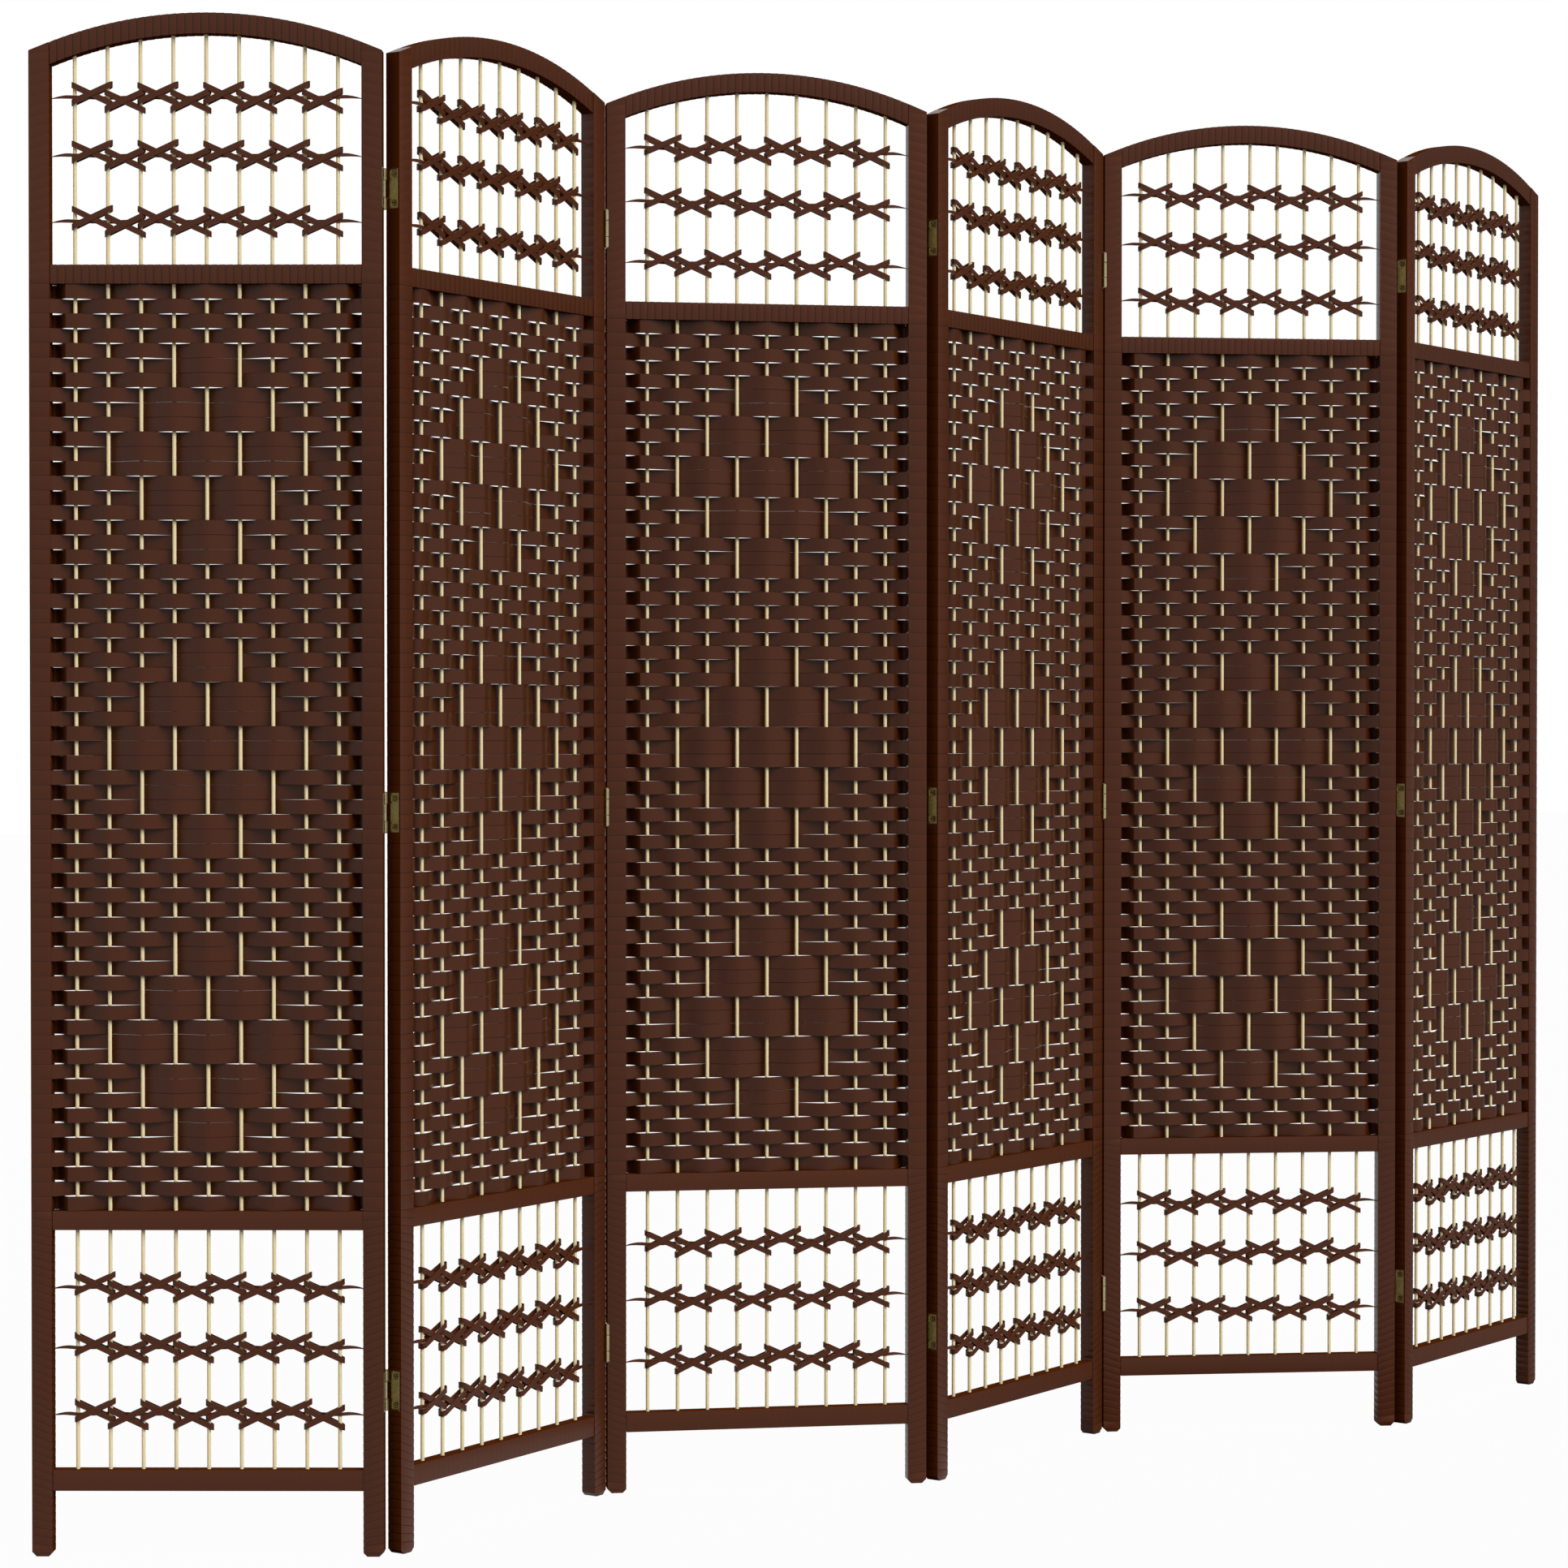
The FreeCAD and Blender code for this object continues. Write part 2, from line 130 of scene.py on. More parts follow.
# Sizes of the source that its solids do not show as a corner or a box
ARCH_RADIUS = 490 * MM
ARCH_WIDTH = 23.5 * MM
ARCH_CENTRE = CROWN - ARCH_RADIUS
FOOT_CHAMFER = 4 * MM


def arch_height(x, radius):
    """Height of an arc about the arch's centre, at a place across the panel."""
    return ARCH_CENTRE + np.sqrt(radius**2 - (x - MID_WIDTH) ** 2)


def arch_top(x):
    return arch_height(x, ARCH_RADIUS)


def arch_underside(x):
    return arch_height(x, ARCH_RADIUS - ARCH_WIDTH)


# Meshes

SHARP_ANGLE = 35
ROUNDING_STEPS = 3
RECTANGLE_POINTS = 4 * (ROUNDING_STEPS + 1)


def piece_seed(number, piece):
    """A seed of its own for each of a panel's pieces."""
    return 100 * number + PANEL_PIECES.index(piece) + 1


class Shape:
    """Points and faces of one mesh, gathered part by part, with a tone and a groove value for each point.

    A face has the first or the second of the shape's materials, by its number in slots.
    """

    def __init__(self, seed):
        self.random = np.random.default_rng(seed)
        self.points = []
        self.values = {"tone": [], "groove": []}
        self.faces = []
        self.slots = []
        self.count = 0

    def add(self, points, faces, groove=0.0, slots=None):
        """One part, with a random tone of its own."""
        points = np.asarray(points, float).reshape(-1, 3)
        self.faces += [tuple(int(corner) + self.count for corner in face) for face in faces]
        self.slots += slots or [0] * len(faces)
        self.points.append(points)
        self.values["tone"].append(np.full(len(points), self.random.random()))
        self.values["groove"].append(np.broadcast_to(np.asarray(groove, float), (len(points),)))
        self.count += len(points)

    def add_rings(self, rings, groove=0.0, closed=False, second=()):
        """A tube through rings of equally many points: capped at both ends, or closed on itself.

        The groove value is one number, one for each ring, or one for each point of a ring in a single row.
        The faces that follow the ring's points in second have the second material.
        """
        rings = np.asarray(rings, float)
        count, size, _ = rings.shape
        groove = np.asarray(groove, float)
        if groove.ndim == 1:
            groove = groove.reshape(-1, 1)
        spans = count if closed else count - 1
        faces = []
        slots = []
        for ring in range(spans):
            here, there = ring * size, (ring + 1) % count * size
            for corner in range(size):
                after = (corner + 1) % size
                faces.append((here + corner, here + after, there + after, there + corner))
                slots.append(1 if corner in second else 0)
        if not closed:
            faces.append(tuple(reversed(range(size))))
            faces.append(tuple(range((count - 1) * size, count * size)))
            slots += [0, 0]
        self.add(rings, faces, np.broadcast_to(groove, (count, size)).ravel(), slots)

    def build(self, name, number, *materials, place=None, sharp_angle=SHARP_ANGLE):
        """The shape as an object riding on a panel's body, in the panel's frame or at a place of its own."""
        mesh = bpy.data.meshes.new(name)
        mesh.from_pydata(np.concatenate(self.points).tolist(), [], self.faces)
        outward = bmesh.new()
        outward.from_mesh(mesh)
        bmesh.ops.recalc_face_normals(outward, faces=outward.faces)
        outward.to_mesh(mesh)
        outward.free()
        for word, parts in self.values.items():
            layer = mesh.attributes.new(word, "FLOAT", "POINT")
            layer.data.foreach_set("value", np.concatenate(parts).astype(np.float32))
        mesh.polygons.foreach_set("use_smooth", [True] * len(mesh.polygons))
        mesh.set_sharp_from_angle(angle=math.radians(sharp_angle))
        for material in materials:
            mesh.materials.append(material)
        mesh.polygons.foreach_set("material_index", self.slots)
        thing = bpy.data.objects.new(name, mesh)
        bpy.context.scene.collection.objects.link(thing)
        thing.matrix_world = place or PLACES[number]
        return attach(thing, f"panel_{number}")


def unit(vectors):
    """Vectors of length 1, row by row."""
    return vectors / np.linalg.norm(vectors, axis=1, keepdims=True)


def circle(sides):
    """Points of a level circle with a radius of 1."""
    angles = np.linspace(0, 2 * math.pi, sides, endpoint=False)
    return np.column_stack((np.cos(angles), np.sin(angles), np.zeros(sides)))


def rounded_rectangle(low, high, radius):
    """Points round a rectangle between two opposite corners, counter-clockwise, with its corners rounded."""
    points = []
    centres = (
        (high[0] - radius, low[1] + radius, -90),
        (high[0] - radius, high[1] - radius, 0),
        (low[0] + radius, high[1] - radius, 90),
        (low[0] + radius, low[1] + radius, 180),
    )
    for x, y, start in centres:
        for step in range(ROUNDING_STEPS + 1):
            angle = math.radians(start + 90 * step / ROUNDING_STEPS)
            points.append((x + radius * math.cos(angle), y + radius * math.sin(angle)))
    return np.array(points)


def tube_side(corner):
    """Faces round a tube of rounded rectangles: the flat one after a corner, and its two neighbours."""
    flat = (corner + 1) * (ROUNDING_STEPS + 1) - 1
    return tuple((flat + step) % RECTANGLE_POINTS for step in (-1, 0, 1))


# Named as in a drawing of the rectangle, with its first axis to the right and its second axis up
RIGHT_SIDE, UPPER_SIDE, LEFT_SIDE, LOWER_SIDE = [tube_side(corner) for corner in range(4)]


def ribbon_rings(path, width_way, thick_way, widths, thickness):
    """Four-cornered cross sections of a flat ribbon along a path, of one width or a width for each point."""
    half_width = (np.asarray(widths, float) / 2).reshape(-1, 1) * width_way
    half_thick = thickness / 2 * thick_way
    corners = (
        half_width - half_thick,
        half_width + half_thick,
        -half_width + half_thick,
        -half_width - half_thick,
    )
    return np.stack([path + corner for corner in corners], axis=1)


# Materials

WHITE = (1.0, 1.0, 1.0)

# How a pattern is drawn out: its frequency along X, Y and Z
EVENLY = (1, 1, 1)
ALONG_STRIP = (0.02, 1, 1)
ALONG_RIBBON = (0.05, 1, 1)
ROUND_STILE = (0.05, 0.05, 1)
ROUND_RAIL = (1, 0.05, 0.05)
ALONG_CANE = (1, 1, 0.02)
PATCHES_ON_CANE = (1, 1, 0.3)
UP_THE_HINGE = (1, 1, 0.04)

FIBRE_DARK = (0.0525, 0.0120, 0.0021)
FIBRE_LIGHT = (0.0580, 0.0132, 0.0024)
FIBRE_SHADE = (0.80, 0.76, 0.72)
# Colour of the painted shade laid into the grooves between turns and along the edges of strips
FIBRE_SEAM_SHADE = (0.12, 0.09, 0.08)
FIBRE_SHEEN = 0.225
FIBRE_STREAK_SCALE = 900.0
FIBRE_STREAK_SHARE = 0.5
FIBRE_CLOUD_SCALE = 22.0
FIBRE_CLOUD_SHARE = 0.35
FIBRE_ROUGHNESS = (0.30, 0.42)
FIBRE_RELIEF = {"strength": 0.12, "distance": 0.4 * MM}
STRIP_SHADE = 0.88

CANE_DARK = (0.60, 0.49, 0.27)
CANE_LIGHT = (0.76, 0.66, 0.42)
CANE_PATCH = (0.84, 0.80, 0.70)
CANE_GRAIN_SCALE = 1400.0
CANE_PATCH_SCALE = 45.0
CANE_PATCH_SHARE = 0.6
CANE_ROUGHNESS = (0.42, 0.62)
CANE_RELIEF = {"strength": 0.15, "distance": 0.3 * MM}

BRASS_DARK = (0.26, 0.225, 0.115)
BRASS_LIGHT = (0.50, 0.44, 0.26)
# Colour of the painted shade in the sinks round the screws
BRASS_SINK_SHADE = (0.10, 0.09, 0.06)
BRASS_TARNISH_SCALE = 260.0
BRASS_TARNISH_DETAIL = 5.0
BRASS_BRUSH_SCALE = 2200.0
BRASS_ROUGHNESS = (0.36, 0.16)
BRASS_RELIEF = {"strength": 0.08, "distance": 0.2 * MM}


class Shading:
    """The nodes of one material or world, with short ways to add the ones that are used here."""

    def __init__(self, owner):
        owner.use_nodes = True
        self.nodes = owner.node_tree.nodes
        self.links = owner.node_tree.links

    def link(self, source, target):
        self.links.new(source, target)

    def streaks(self, stretch, scale, detail=3.0):
        """Noise in the piece's own frame, drawn out along a fibre."""
        place = self.nodes.new("ShaderNodeTexCoord")
        squeeze = self.nodes.new("ShaderNodeMapping")
        squeeze.inputs["Scale"].default_value = stretch
        noise = self.nodes.new("ShaderNodeTexNoise")
        noise.inputs["Scale"].default_value = scale
        noise.inputs["Detail"].default_value = detail
        self.link(place.outputs["Object"], squeeze.inputs["Vector"])
        self.link(squeeze.outputs["Vector"], noise.inputs["Vector"])
        return noise.outputs["Fac"]

    def attribute(self, name):
        """A value that the shape gives to each of its points."""
        reader = self.nodes.new("ShaderNodeAttribute")
        reader.attribute_name = name
        return reader.outputs["Fac"]

    def ramp(self, source, low, high):
        """A colour between two colours, led by a value from 0 to 1."""
        mix = self.nodes.new("ShaderNodeMix")
        mix.data_type = "RGBA"
        mix.inputs["A"].default_value = (*low, 1)
        mix.inputs["B"].default_value = (*high, 1)
        self.link(source, mix.inputs["Factor"])
        return mix.outputs["Result"]

    def spread(self, source, low, high):
        """A number between two numbers, led by a value from 0 to 1."""
        reach = self.nodes.new("ShaderNodeMapRange")
        reach.inputs["To Min"].default_value = low
        reach.inputs["To Max"].default_value = high
        self.link(source, reach.inputs["Value"])
        return reach.outputs["Result"]

    def blended(self, kind, factor, base, top):
        """A colour laid over another one: the factor is a number or a value from a node."""
        mix = self.nodes.new("ShaderNodeMix")
        mix.data_type = "RGBA"
        mix.blend_type = kind
        self.link(base, mix.inputs["A"])
        self.link(top, mix.inputs["B"])
        if isinstance(factor, float):
            mix.inputs["Factor"].default_value = factor
        else:
            self.link(factor, mix.inputs["Factor"])
        return mix.outputs["Result"]

    def combined(self, operation, first, second):
        """Two values made into one by an operation, such as their product or the greater of them."""
        node = self.nodes.new("ShaderNodeMath")
        node.operation = operation
        self.link(first, node.inputs[0])
        self.link(second, node.inputs[1])
        return node.outputs["Value"]

    def bump(self, shader, height, strength, distance):
        """Fine relief on a shader."""
        relief = self.nodes.new("ShaderNodeBump")
        relief.inputs["Strength"].default_value = strength
        relief.inputs["Distance"].default_value = distance
        self.link(height, relief.inputs["Height"])
        self.link(relief.outputs["Normal"], shader.inputs["Normal"])


def new_material(name):
    """A material, its shading and its shader."""
    material = bpy.data.materials.new(name)
    shading = Shading(material)
    return material, shading, shading.nodes["Principled BSDF"]


def fibre_material(name, stretch, shade=1.0, sheen=FIBRE_SHEEN):
    """Smooth brown fibre strip: a tone for each part, fine streaks, broad clouds and painted shade in its
    grooves.
    """
    material, shading, shader = new_material(name)
    dark, light = [tuple(shade * part for part in colour) for colour in (FIBRE_DARK, FIBRE_LIGHT)]
    fine = shading.streaks(stretch, FIBRE_STREAK_SCALE)
    broad = shading.streaks(EVENLY, FIBRE_CLOUD_SCALE)
    tone = shading.ramp(shading.attribute("tone"), dark, light)
    streaks = shading.ramp(fine, FIBRE_SHADE, WHITE)
    streaked = shading.blended("MULTIPLY", FIBRE_STREAK_SHARE, tone, streaks)
    clouds = shading.ramp(broad, FIBRE_SHADE, WHITE)
    clouded = shading.blended("MULTIPLY", FIBRE_CLOUD_SHARE, streaked, clouds)
    # Painted shade in the grooves, as strong as each point's groove value
    seam_shade = shading.ramp(shading.attribute("groove"), WHITE, FIBRE_SEAM_SHADE)
    shading.link(shading.blended("MULTIPLY", 1.0, clouded, seam_shade), shader.inputs["Base Color"])
    shading.link(shading.spread(fine, *FIBRE_ROUGHNESS), shader.inputs["Roughness"])
    shader.inputs["Specular IOR Level"].default_value = sheen
    shading.bump(shader, fine, **FIBRE_RELIEF)
    return material


def rod_material():
    """Pale peeled cane: faint grain along the rod and a few darker patches."""
    material, shading, shader = new_material("peeled_cane")
    grain = shading.streaks(ALONG_CANE, CANE_GRAIN_SCALE)
    patches = shading.streaks(PATCHES_ON_CANE, CANE_PATCH_SCALE)
    base = shading.ramp(grain, CANE_DARK, CANE_LIGHT)
    shade = shading.ramp(patches, CANE_PATCH, WHITE)
    shading.link(shading.blended("MULTIPLY", CANE_PATCH_SHARE, base, shade), shader.inputs["Base Color"])
    shading.link(shading.spread(grain, *CANE_ROUGHNESS), shader.inputs["Roughness"])
    shading.bump(shader, grain, **CANE_RELIEF)
    return material


def brass_material():
    """Aged brass: duller and darker in patches, with painted shade in the sinks of the screws."""
    material, shading, shader = new_material("aged_brass")
    tarnish = shading.streaks(EVENLY, BRASS_TARNISH_SCALE, BRASS_TARNISH_DETAIL)
    brushing = shading.streaks(UP_THE_HINGE, BRASS_BRUSH_SCALE)
    metal = shading.ramp(tarnish, BRASS_DARK, BRASS_LIGHT)
    # Painted shade in the sinks, by each point's groove value
    sink_shade = shading.ramp(shading.attribute("groove"), WHITE, BRASS_SINK_SHADE)
    shading.link(shading.blended("MULTIPLY", 1.0, metal, sink_shade), shader.inputs["Base Color"])
    shader.inputs["Metallic"].default_value = 1.0
    shading.link(shading.spread(tarnish, *BRASS_ROUGHNESS), shader.inputs["Roughness"])
    shading.bump(shader, brushing, **BRASS_RELIEF)
    return material


STRIP_FIBRE = fibre_material("strip_fibre", ALONG_STRIP, shade=STRIP_SHADE)
STILE_FIBRE = fibre_material("stile_fibre", ROUND_STILE)
EDGE_FIBRE = fibre_material("edge_fibre", ROUND_STILE, sheen=0.0)
RAIL_FIBRE = fibre_material("rail_fibre", ROUND_RAIL)
RAIL_EDGE_FIBRE = fibre_material("rail_edge_fibre", ROUND_RAIL, sheen=0.0)
RIBBON_FIBRE = fibre_material("ribbon_fibre", ALONG_RIBBON)
CANE = rod_material()
BRASS = brass_material()


# Wrapped frame: fibre strip wound round the stiles and rails

# Seam values below set how strongly each seam between turns is darkened with painted shade
WRAP_STEP = 0.18 * MM
SEAM_DEPTH = 0.22 * MM
FULL_RELIEF_SEAM = 0.25
CORNER_RADIUS = 0.35 * MM

STILE_SPANS = {"left": (0.0, STILE_WIDTH), "right": (PANEL_WIDTH - STILE_WIDTH, PANEL_WIDTH)}
STILE_MATTE_SIDES = {"left": RIGHT_SIDE + LEFT_SIDE, "right": RIGHT_SIDE}
STILE_SEAM_WIDTH = 0.55 * MM
OUTER_WRAP = 1.10 * MM
INNER_WRAP = 0.2 * MM
FACE_WRAP = 0.45 * MM
LOWER_WRAPS = 42
LOWER_SLANT = 0.42
LOWER_SEAM = 0.9
WOVEN_SEAM = 0.8
UPPER_WRAPS = 23
UPPER_SLANT = 0.30
UPPER_SEAM = 0.1

RAIL_MATTE_SIDES = UPPER_SIDE + LOWER_SIDE
RAIL_SEAM_WIDTH = 0.95 * MM
RAIL_WRAP_PITCH = 9.1 * MM
CLEAR_RAIL_SEAM = 1.0
FAINT_RAIL_SEAM = 0.03


def wraps(start, end, count, seam_width, seam):
    """Turns of strip between two places, each under the next: (place, how far it stands out, seam value).

    The seam value is how strongly the seam is darkened with painted shade; one below that of full relief also
    makes the turns flatter.
    """
    relief = min(seam / FULL_RELIEF_SEAM, 1)
    edges = np.linspace(start, end, count + 1)
    turns = []
    for low, high in zip(edges[:-1], edges[1:]):
        turns.append((low + seam_width, 0.0, 0.0))
        turns.append((high - seam_width, WRAP_STEP * relief, 0.0))
        turns.append((high, -SEAM_DEPTH * relief, seam))
    return turns


def stile_ring(side, height, slant, proud):
    """One turn round a stile, thick and even on the stile's outer edge, thinner towards the weave."""
    x_low, x_high = STILE_SPANS[side]
    inner = INNER_WRAP + proud
    left_wrap, right_wrap = (OUTER_WRAP, inner) if side == "left" else (inner, OUTER_WRAP)
    face = FACE_WRAP + proud
    low, high = (x_low - left_wrap, -face), (x_high + right_wrap, STILE_DEPTH + face)
    outline = rounded_rectangle(low, high, CORNER_RADIUS)
    middle = (x_low + x_high) / 2
    heights = height + slant * (outline[:, 0] - middle)
    inside = np.clip(outline[:, 0], 0, PANEL_WIDTH)
    heights = np.minimum(heights, arch_top(inside))
    return np.column_stack((outline, heights))


def foot_rings(side):
    """The stile's end grain, chamfered on its two narrow sides."""
    x_low, x_high = STILE_SPANS[side]
    rings = []
    for height in (0.0, FOOT_CHAMFER):
        inset = FOOT_CHAMFER - height
        outline = rounded_rectangle((x_low + inset, 0), (x_high - inset, STILE_DEPTH), CORNER_RADIUS)
        rings.append(np.column_stack((outline, np.full(len(outline), height))))
    return rings


def make_stile(number, side):
    """One stile: slanted turns below, a turn for every woven row, and slanted turns up to the arch.

    The slant fades in and out over its section. The stile's outer edge is matte, and so is the inner edge
    of a left stile.
    """
    lean = -1 if side == "left" else 1
    shape = Shape(piece_seed(number, f"{side}_stile"))
    rings = foot_rings(side)
    grooves = [0.0] * len(rings)
    top = arch_top(np.array(STILE_SPANS[side])).max()
    sections = (
        (FOOT_CHAMFER, WEAVE_BASE, LOWER_WRAPS, lean * LOWER_SLANT, LOWER_SEAM),
        (WEAVE_BASE, WEAVE_TOP, WEAVE_ROWS, 0.0, WOVEN_SEAM),
        (WEAVE_TOP, top, UPPER_WRAPS, -lean * UPPER_SLANT, UPPER_SEAM),
    )
    for start, end, count, slant, seam in sections:
        for place, out, groove in wraps(start, end, count, STILE_SEAM_WIDTH, seam):
            swing = math.sqrt(max(math.sin(math.pi * (place - start) / (end - start)), 0))
            rings.append(stile_ring(side, place, slant * swing, out))
            grooves.append(groove)
    shape.add_rings(rings, grooves, second=STILE_MATTE_SIDES[side])
    stile = shape.build(f"panel_{number}_{side}_stile_wrapped", number, STILE_FIBRE, EDGE_FIBRE)
    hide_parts(f"panel_{number}_{side}_stile")


def rail_ring(x, base, top, proud):
    """One turn round a rail, at a place across the panel."""
    low, high = (RAIL_FRONT - proud, base - proud), (RAIL_BACK + proud, top + proud)
    outline = rounded_rectangle(low, high, CORNER_RADIUS)
    return np.column_stack((np.full(len(outline), x), outline))


def add_rail(shape, seam, base_at, top_at):
    """One rail between the stiles, with its base and its top as functions of the place across the panel."""
    left, right = STILE_WIDTH, PANEL_WIDTH - STILE_WIDTH
    count = round((right - left) / RAIL_WRAP_PITCH)
    turns = wraps(left, right, count, RAIL_SEAM_WIDTH, seam)
    rings = [rail_ring(x, base_at(x), top_at(x), proud) for x, proud, _ in turns]
    shape.add_rings(rings, [groove for _, _, groove in turns], second=RAIL_MATTE_SIDES)


def make_rails(number):
    """Arched top rail and three straight rails, wound with upright turns of strip, matte above and below."""
    arch = Shape(piece_seed(number, "top_rail"))
    add_rail(arch, CLEAR_RAIL_SEAM, arch_underside, arch_top)
    arch_rail = arch.build(f"panel_{number}_top_rail_wrapped", number, RAIL_FIBRE, RAIL_EDGE_FIBRE)
    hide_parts(f"panel_{number}_top_rail")

    straight = Shape(piece_seed(number, "cross_rails"))
    add_rail(straight, FAINT_RAIL_SEAM, lambda x: BOTTOM_BASE, lambda x: BOTTOM_TOP)
    add_rail(straight, FAINT_RAIL_SEAM, lambda x: LOWER_BASE, lambda x: WEAVE_BASE)
    add_rail(straight, CLEAR_RAIL_SEAM, lambda x: WEAVE_TOP, lambda x: UPPER_TOP)
    cross_rails = straight.build(f"panel_{number}_cross_rails_wrapped", number, RAIL_FIBRE, RAIL_EDGE_FIBRE)
    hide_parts(f"panel_{number}_cross_rails")


# Rods

ROD_SIDES = 14
ROD_SECTIONS = 24
ROD_SEAT = 10 * MM
ROD_FULLNESS = 1.12
ROD_UNEVENNESS = 0.03


def make_rods(number):
    """Nine peeled canes, each a little uneven in thickness, seated in the bottom rail and in the arch."""
    shape = Shape(piece_seed(number, "rods"))
    outline = circle(ROD_SIDES)
    for place in ROD_PLACES:
        heights = np.linspace(ROD_BASE, arch_underside(place) + ROD_SEAT, ROD_SECTIONS)
        unevenness = ROD_UNEVENNESS * shape.random.uniform(-1, 1, ROD_SECTIONS)
        radii = ROD_RADIUS * ROD_FULLNESS * (1 + unevenness)
        rings = [outline * radius + (place, MID_DEPTH, height) for height, radius in zip(heights, radii)]
        shape.add_rings(rings)
    rods = shape.build(f"panel_{number}_rods_round", number, CANE)
    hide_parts(f"panel_{number}_rods")


# Weave: strips that bow before and behind the rods, with three diamonds of longer floats

STRIP_BOW = 7.0 * MM
STRIP_BOW_SPREAD = (0.93, 1.03)
STRIP_THICKNESS = 0.6 * MM
STRIP_EDGE = 0.4 * MM
# Painted shade along each strip's edges, where the rows meet
STRIP_EDGE_SHADE = 0.9
STRIP_JITTER = 0.04 * MM
STRIP_SHARP_ANGLE = 30
BAY_SAMPLES = 8
END_SAMPLES = 14
END_OVERLAP = 2.5 * MM
END_BITE = 0.1 * MM
TUCK_START = 0.28
TUCK_LENGTH = 0.50
CREST_SHARPNESS = 0.45
DIAMOND_PERIOD = 20
DIAMOND_FIRST_ROW = 5
DIAMOND_BLOCK = 3
DIAMOND_FLOATS = ((4, 6), (3, 5, 7), (2, 4, 6, 8), (3, 5, 7), (4, 6))


def rods_in_front(row):
    """Rods that show before the strip of a row, counted from the top: plain weave, changed inside a diamond.

    A diamond is a stack of blocks of rows, and the middle row of each block has the block's floats.
    """
    plain = set(range(1 if row % 2 == 0 else 2, ROD_COUNT + 1, 2))
    step = (row - 1) % DIAMOND_PERIOD + 1 - DIAMOND_FIRST_ROW
    block, place = divmod(step, DIAMOND_BLOCK)
    if step < 0 or block >= len(DIAMOND_FLOATS) or place != 1:
        return plain
    floats = DIAMOND_FLOATS[block]
    return set(floats) | {rod for rod in plain if rod < floats[0] or rod > floats[-1]}


def ease(share):
    """From 0 to 1 with a soft start and end, partly straight so that the crests stay narrow."""
    return CREST_SHARPNESS * share + (1 - CREST_SHARPNESS) * (1 - np.cos(np.pi * share)) / 2


def tuck(share):
    """From a strip's last crest round behind the stile: level first, then steep."""
    late = np.clip((share - TUCK_START) / TUCK_LENGTH, 0, 1)
    return late * late * (3 - 2 * late)


def strip_end(rod_place, rod_depth, stile_edge, behind):
    """Plan points from the outermost rod to the stile, behind it or over its front."""
    share = np.linspace(0, 1, END_SAMPLES)[1:]
    outward = math.copysign(END_OVERLAP, stile_edge - rod_place)
    across = rod_place + (stile_edge + outward - rod_place) * share
    hold = STRIP_THICKNESS / 2 - END_BITE
    stile_depth = STILE_DEPTH + hold if behind else -hold
    way = tuck(share) if behind else ease(share)
    return across, rod_depth + (stile_depth - rod_depth) * way


def strip_plan(row, random):
    """Plan line of one strip from the left stile to the right one."""
    seen = rods_in_front(row)
    sides = [1 if rod in seen else -1 for rod in range(1, ROD_COUNT + 1)]
    bows = [MID_DEPTH + side * STRIP_BOW * random.uniform(*STRIP_BOW_SPREAD) for side in sides]
    left_x, left_y = strip_end(ROD_PLACES[0], bows[0], STILE_WIDTH, behind=sides[0] < 0)
    right_x, right_y = strip_end(ROD_PLACES[-1], bows[-1], PANEL_WIDTH - STILE_WIDTH, behind=sides[-1] < 0)
    across = [left_x[::-1]]
    depths = [left_y[::-1]]
    share = np.linspace(0, 1, BAY_SAMPLES, endpoint=False)
    for index in range(ROD_COUNT - 1):
        across.append(ROD_PLACES[index] + ROD_PITCH * share)
        depths.append(bows[index] + (bows[index + 1] - bows[index]) * ease(share))
    across += [ROD_PLACES[-1:], right_x]
    depths += [bows[-1:], right_y]
    return np.concatenate(across), np.concatenate(depths)


def strip_rings(path, facing, width):
    """Six-cornered cross sections of a strip, thinned at its edges, with groove values that paint shade
    there.
    """
    edge = np.array((0.0, 0.0, width / 2))
    shoulder = np.array((0.0, 0.0, width / 2 - STRIP_EDGE))
    front = facing * STRIP_THICKNESS / 2
    corners = (front + shoulder, edge, -front + shoulder, -front - shoulder, -edge, front - shoulder)
    rings = np.stack([path + corner for corner in corners], axis=1)
    return rings, [[0.0, STRIP_EDGE_SHADE, 0.0, 0.0, STRIP_EDGE_SHADE, 0.0]]


def make_weave(number):
    """Strips edge to edge, one for each row."""
    pitch = (WEAVE_TOP - WEAVE_BASE) / WEAVE_ROWS
    shape = Shape(piece_seed(number, "weave"))
    for row in range(1, WEAVE_ROWS + 1):
        across, depths = strip_plan(row, shape.random)
        height = WEAVE_TOP - (row - 0.5) * pitch + shape.random.uniform(-1, 1) * STRIP_JITTER
        path = np.column_stack((across, depths, np.full(len(across), height)))
        slope = np.gradient(depths, across)
        facing = unit(np.column_stack((slope, -np.ones(len(slope)), np.zeros(len(slope)))))
        rings, grooves = strip_rings(path, facing, pitch)
        shape.add_rings(rings, grooves)
    weave = shape.build(f"panel_{number}_weave_strips", number, STRIP_FIBRE, sharp_angle=STRIP_SHARP_ANGLE)
    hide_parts(f"panel_{number}_weave")


# Braids: flat ribbon loops crossed in every gap between rods, with a core ribbon through each row

LOOP_WIDTH = 6.4 * MM
LOOP_THICKNESS = 0.6 * MM
LOOP_SLOPE = 0.46
LOOP_SLOPE_SPREAD = (0.95, 1.05)
LOOP_STAGGER = 3.95 * MM
LOOP_LEFT_REACH = 3.4 * MM
LOOP_RIGHT_REACH = 5.5 * MM
LOOP_LEFT_DEPTH = 5.4 * MM
LOOP_LEFT_FLATNESS = 0.8
LOOP_RIGHT_DEPTH = 4.3 * MM
LOOP_NESTING = 0.8 * MM
LOOP_BEND_SAMPLES = 9
LOOP_RUN_SAMPLES = 8

